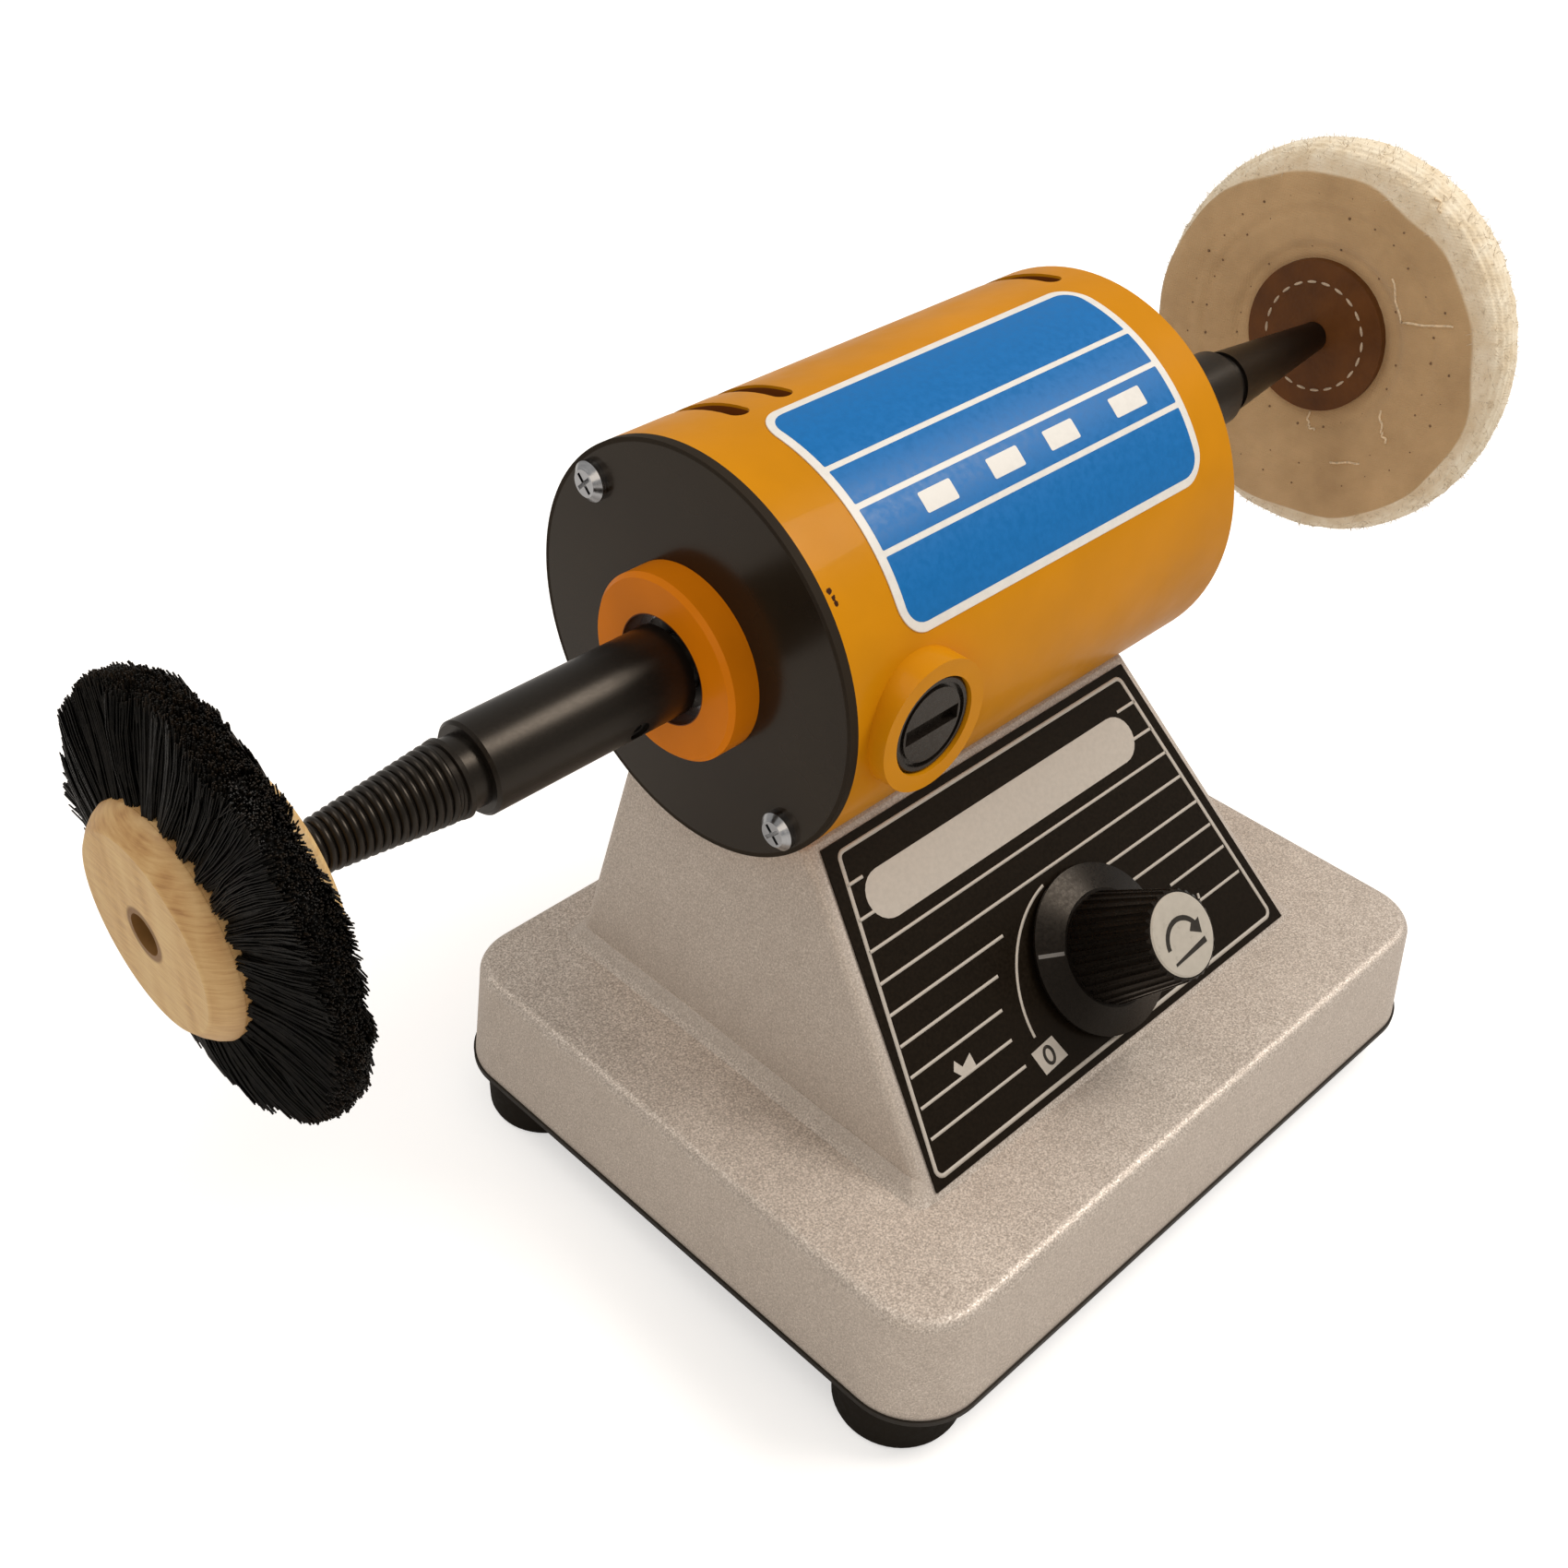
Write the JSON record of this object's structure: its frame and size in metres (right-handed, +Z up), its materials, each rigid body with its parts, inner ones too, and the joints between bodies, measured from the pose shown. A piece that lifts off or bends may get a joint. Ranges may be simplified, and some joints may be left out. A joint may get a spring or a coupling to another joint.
{
  "type": "compact polishing lathe",
  "caption": "Bench polishing lathe: drum motor on a cast wedge stand, wheel brush and cotton buff on tapered spindles, turning control knob.",
  "frame": {"origin": "middle of the whole part's plan, on the floor under its feet", "axes": "+X along the spindle from the brush to the buff, -Y to the front with the control panel, +Z up"},
  "size_m": [0.3384, 0.1504, 0.1759],
  "materials": {
    "cast_paint": "silver hammered paint",
    "plate_black": "satin black",
    "foot_rubber": "matt",
    "zinc_screw": "zinc plated",
    "grommet_rubber": "matt",
    "spacer_brass": "turned",
    "board_laminate": "green laminate",
    "board_part_black": "moulded",
    "panel_print": "printed foil",
    "pot_case": "pressed",
    "pot_nut_metal": "nickel plated",
    "pot_shaft_metal": "turned",
    "knob_black": "moulded",
    "knob_white": "moulded",
    "drum_paint": "gloss orange paint",
    "bracket_paint": "gloss orange paint",
    "disc_black": "satin black",
    "end_screw_zinc": "bright zinc",
    "label_print": "printed film",
    "ferrite": "sintered",
    "bearing_steel": "ground",
    "shield_black": "moulded",
    "holder_brass": "drawn",
    "carbon": "pressed carbon",
    "spring_steel": "drawn",
    "cap_black": "moulded",
    "shaft_steel": "ground",
    "core_steel": "stacked sheet",
    "winding_copper": "enamelled",
    "commutator_copper": "turned",
    "fan_white": "moulded",
    "spindle_black": "black oxide steel",
    "grub_black": "black oxide steel",
    "hub_wood": "plain turned",
    "bristle_black": "natural hair",
    "buff_cotton": "sewn cotton",
    "buff_leather": "plain"
  },
  "bodies": {
    "stand": {"base_casting": "cast_paint", "bottom_plate": "plate_black", "feet": "foot_rubber", "foot_screws": "zinc_screw", "cord_grommet": "grommet_rubber", "board_spacers": "spacer_brass", "control_board": "board_laminate", "board_parts": "board_part_black", "board_screws": "zinc_screw", "panel_foil": "panel_print", "pot_body": "pot_case", "pot_nut": "pot_nut_metal", "motor_drum": "drum_paint", "end_bracket": "bracket_paint", "end_disc": "disc_black", "end_screws": "end_screw_zinc", "hold_screws": "zinc_screw", "drum_label": "label_print", "magnets": "ferrite", "bearing_outer_rings": "bearing_steel", "bearing_balls": "bearing_steel", "bearing_shields": "shield_black", "brush_holders": "holder_brass", "carbon_brushes": "carbon", "brush_springs": "spring_steel", "brush_caps": "cap_black"},
    "rotor": {"bearing_inner_rings": "bearing_steel", "motor_shaft": "shaft_steel", "armature_core": "core_steel", "armature_winding": "winding_copper", "commutator": "commutator_copper", "fan": "fan_white", "spindle_left": "spindle_black", "spindle_right": "spindle_black", "grub_screws": "grub_black", "brush_hub": "hub_wood", "bristles": "bristle_black", "buff_cloth": "buff_cotton", "buff_leathers": "buff_leather"},
    "control": {"pot_shaft": "pot_shaft_metal", "knob": "knob_black", "knob_cap": "knob_white"}
  },
  "joints": [
    {"name": "spindle_spin", "type": "hinge", "parent": "stand", "child": "rotor", "pos_m": [0.0027, 0.02666, 0.1282], "axis": [1, 0, 0], "continuous": true},
    {"name": "knob_turn", "type": "hinge", "parent": "stand", "child": "control", "pos_m": [0.0072, -0.03491, 0.05531], "axis": [0, 0.7337, -0.6794], "range_deg": [-50, 230]}
  ]
}
